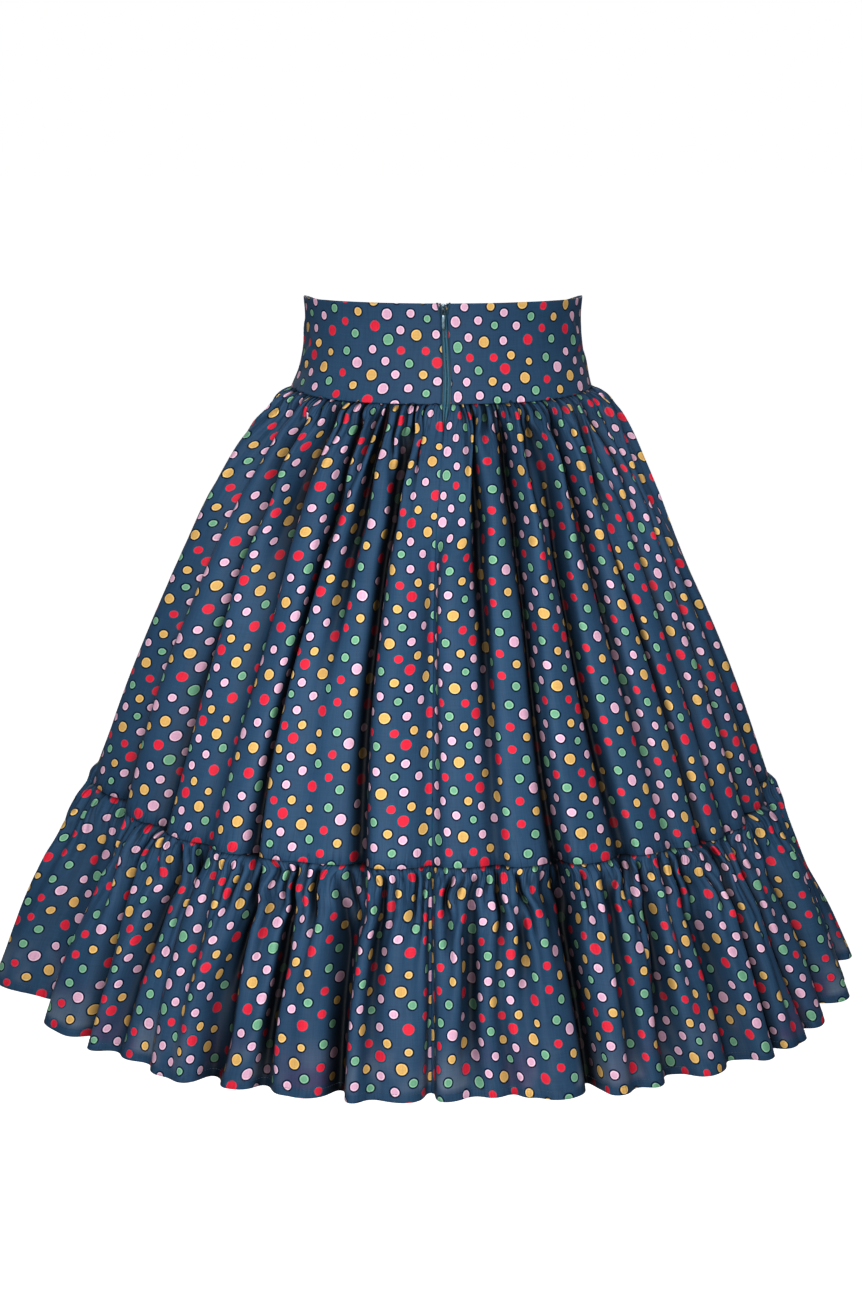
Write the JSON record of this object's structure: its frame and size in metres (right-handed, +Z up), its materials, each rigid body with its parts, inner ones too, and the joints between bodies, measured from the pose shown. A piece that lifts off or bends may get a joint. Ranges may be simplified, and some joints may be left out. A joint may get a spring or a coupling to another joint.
{
  "type": "full gathered skirt",
  "caption": "High-waisted full skirt, worn shape: fitted waistband with a back zip, gathered skirt tier and a deep gathered ruffle, in dotted cotton.",
  "frame": {"origin": "centre of the waist, at the height where the waistband is narrowest", "axes": "+Z up, the wearer faces +Y, so the back with its zip faces -Y and +X is the wearer's right"},
  "size_m": [0.7969, 0.6841, 0.6543],
  "materials": {
    "dotted_cotton": "smooth woven cotton, petrol blue with small pink, yellow, green and red dots",
    "teal_tape": "woven zip tape with a closed coil",
    "painted_metal": "painted, satin"
  },
  "bodies": {
    "skirt": {"waistband_front": "dotted_cotton", "waistband_back_left": "dotted_cotton", "waistband_back_right": "dotted_cotton", "tier_front": "dotted_cotton", "tier_back_left": "dotted_cotton", "tier_back_right": "dotted_cotton", "ruffle_front": "dotted_cotton", "ruffle_back_left": "dotted_cotton", "ruffle_back_right": "dotted_cotton", "zip_tape_left": "teal_tape", "zip_tape_right": "teal_tape", "zip_slider": "painted_metal"},
    "pull_tab": {"zip_pull_tab": "painted_metal"}
  },
  "joints": [
    {"name": "pull_tab_hinge", "type": "hinge", "parent": "skirt", "child": "pull_tab", "pos_m": [0, -0.09832, 0.0262], "axis": [-1, 0, 0], "range_deg": [0, 165]}
  ]
}
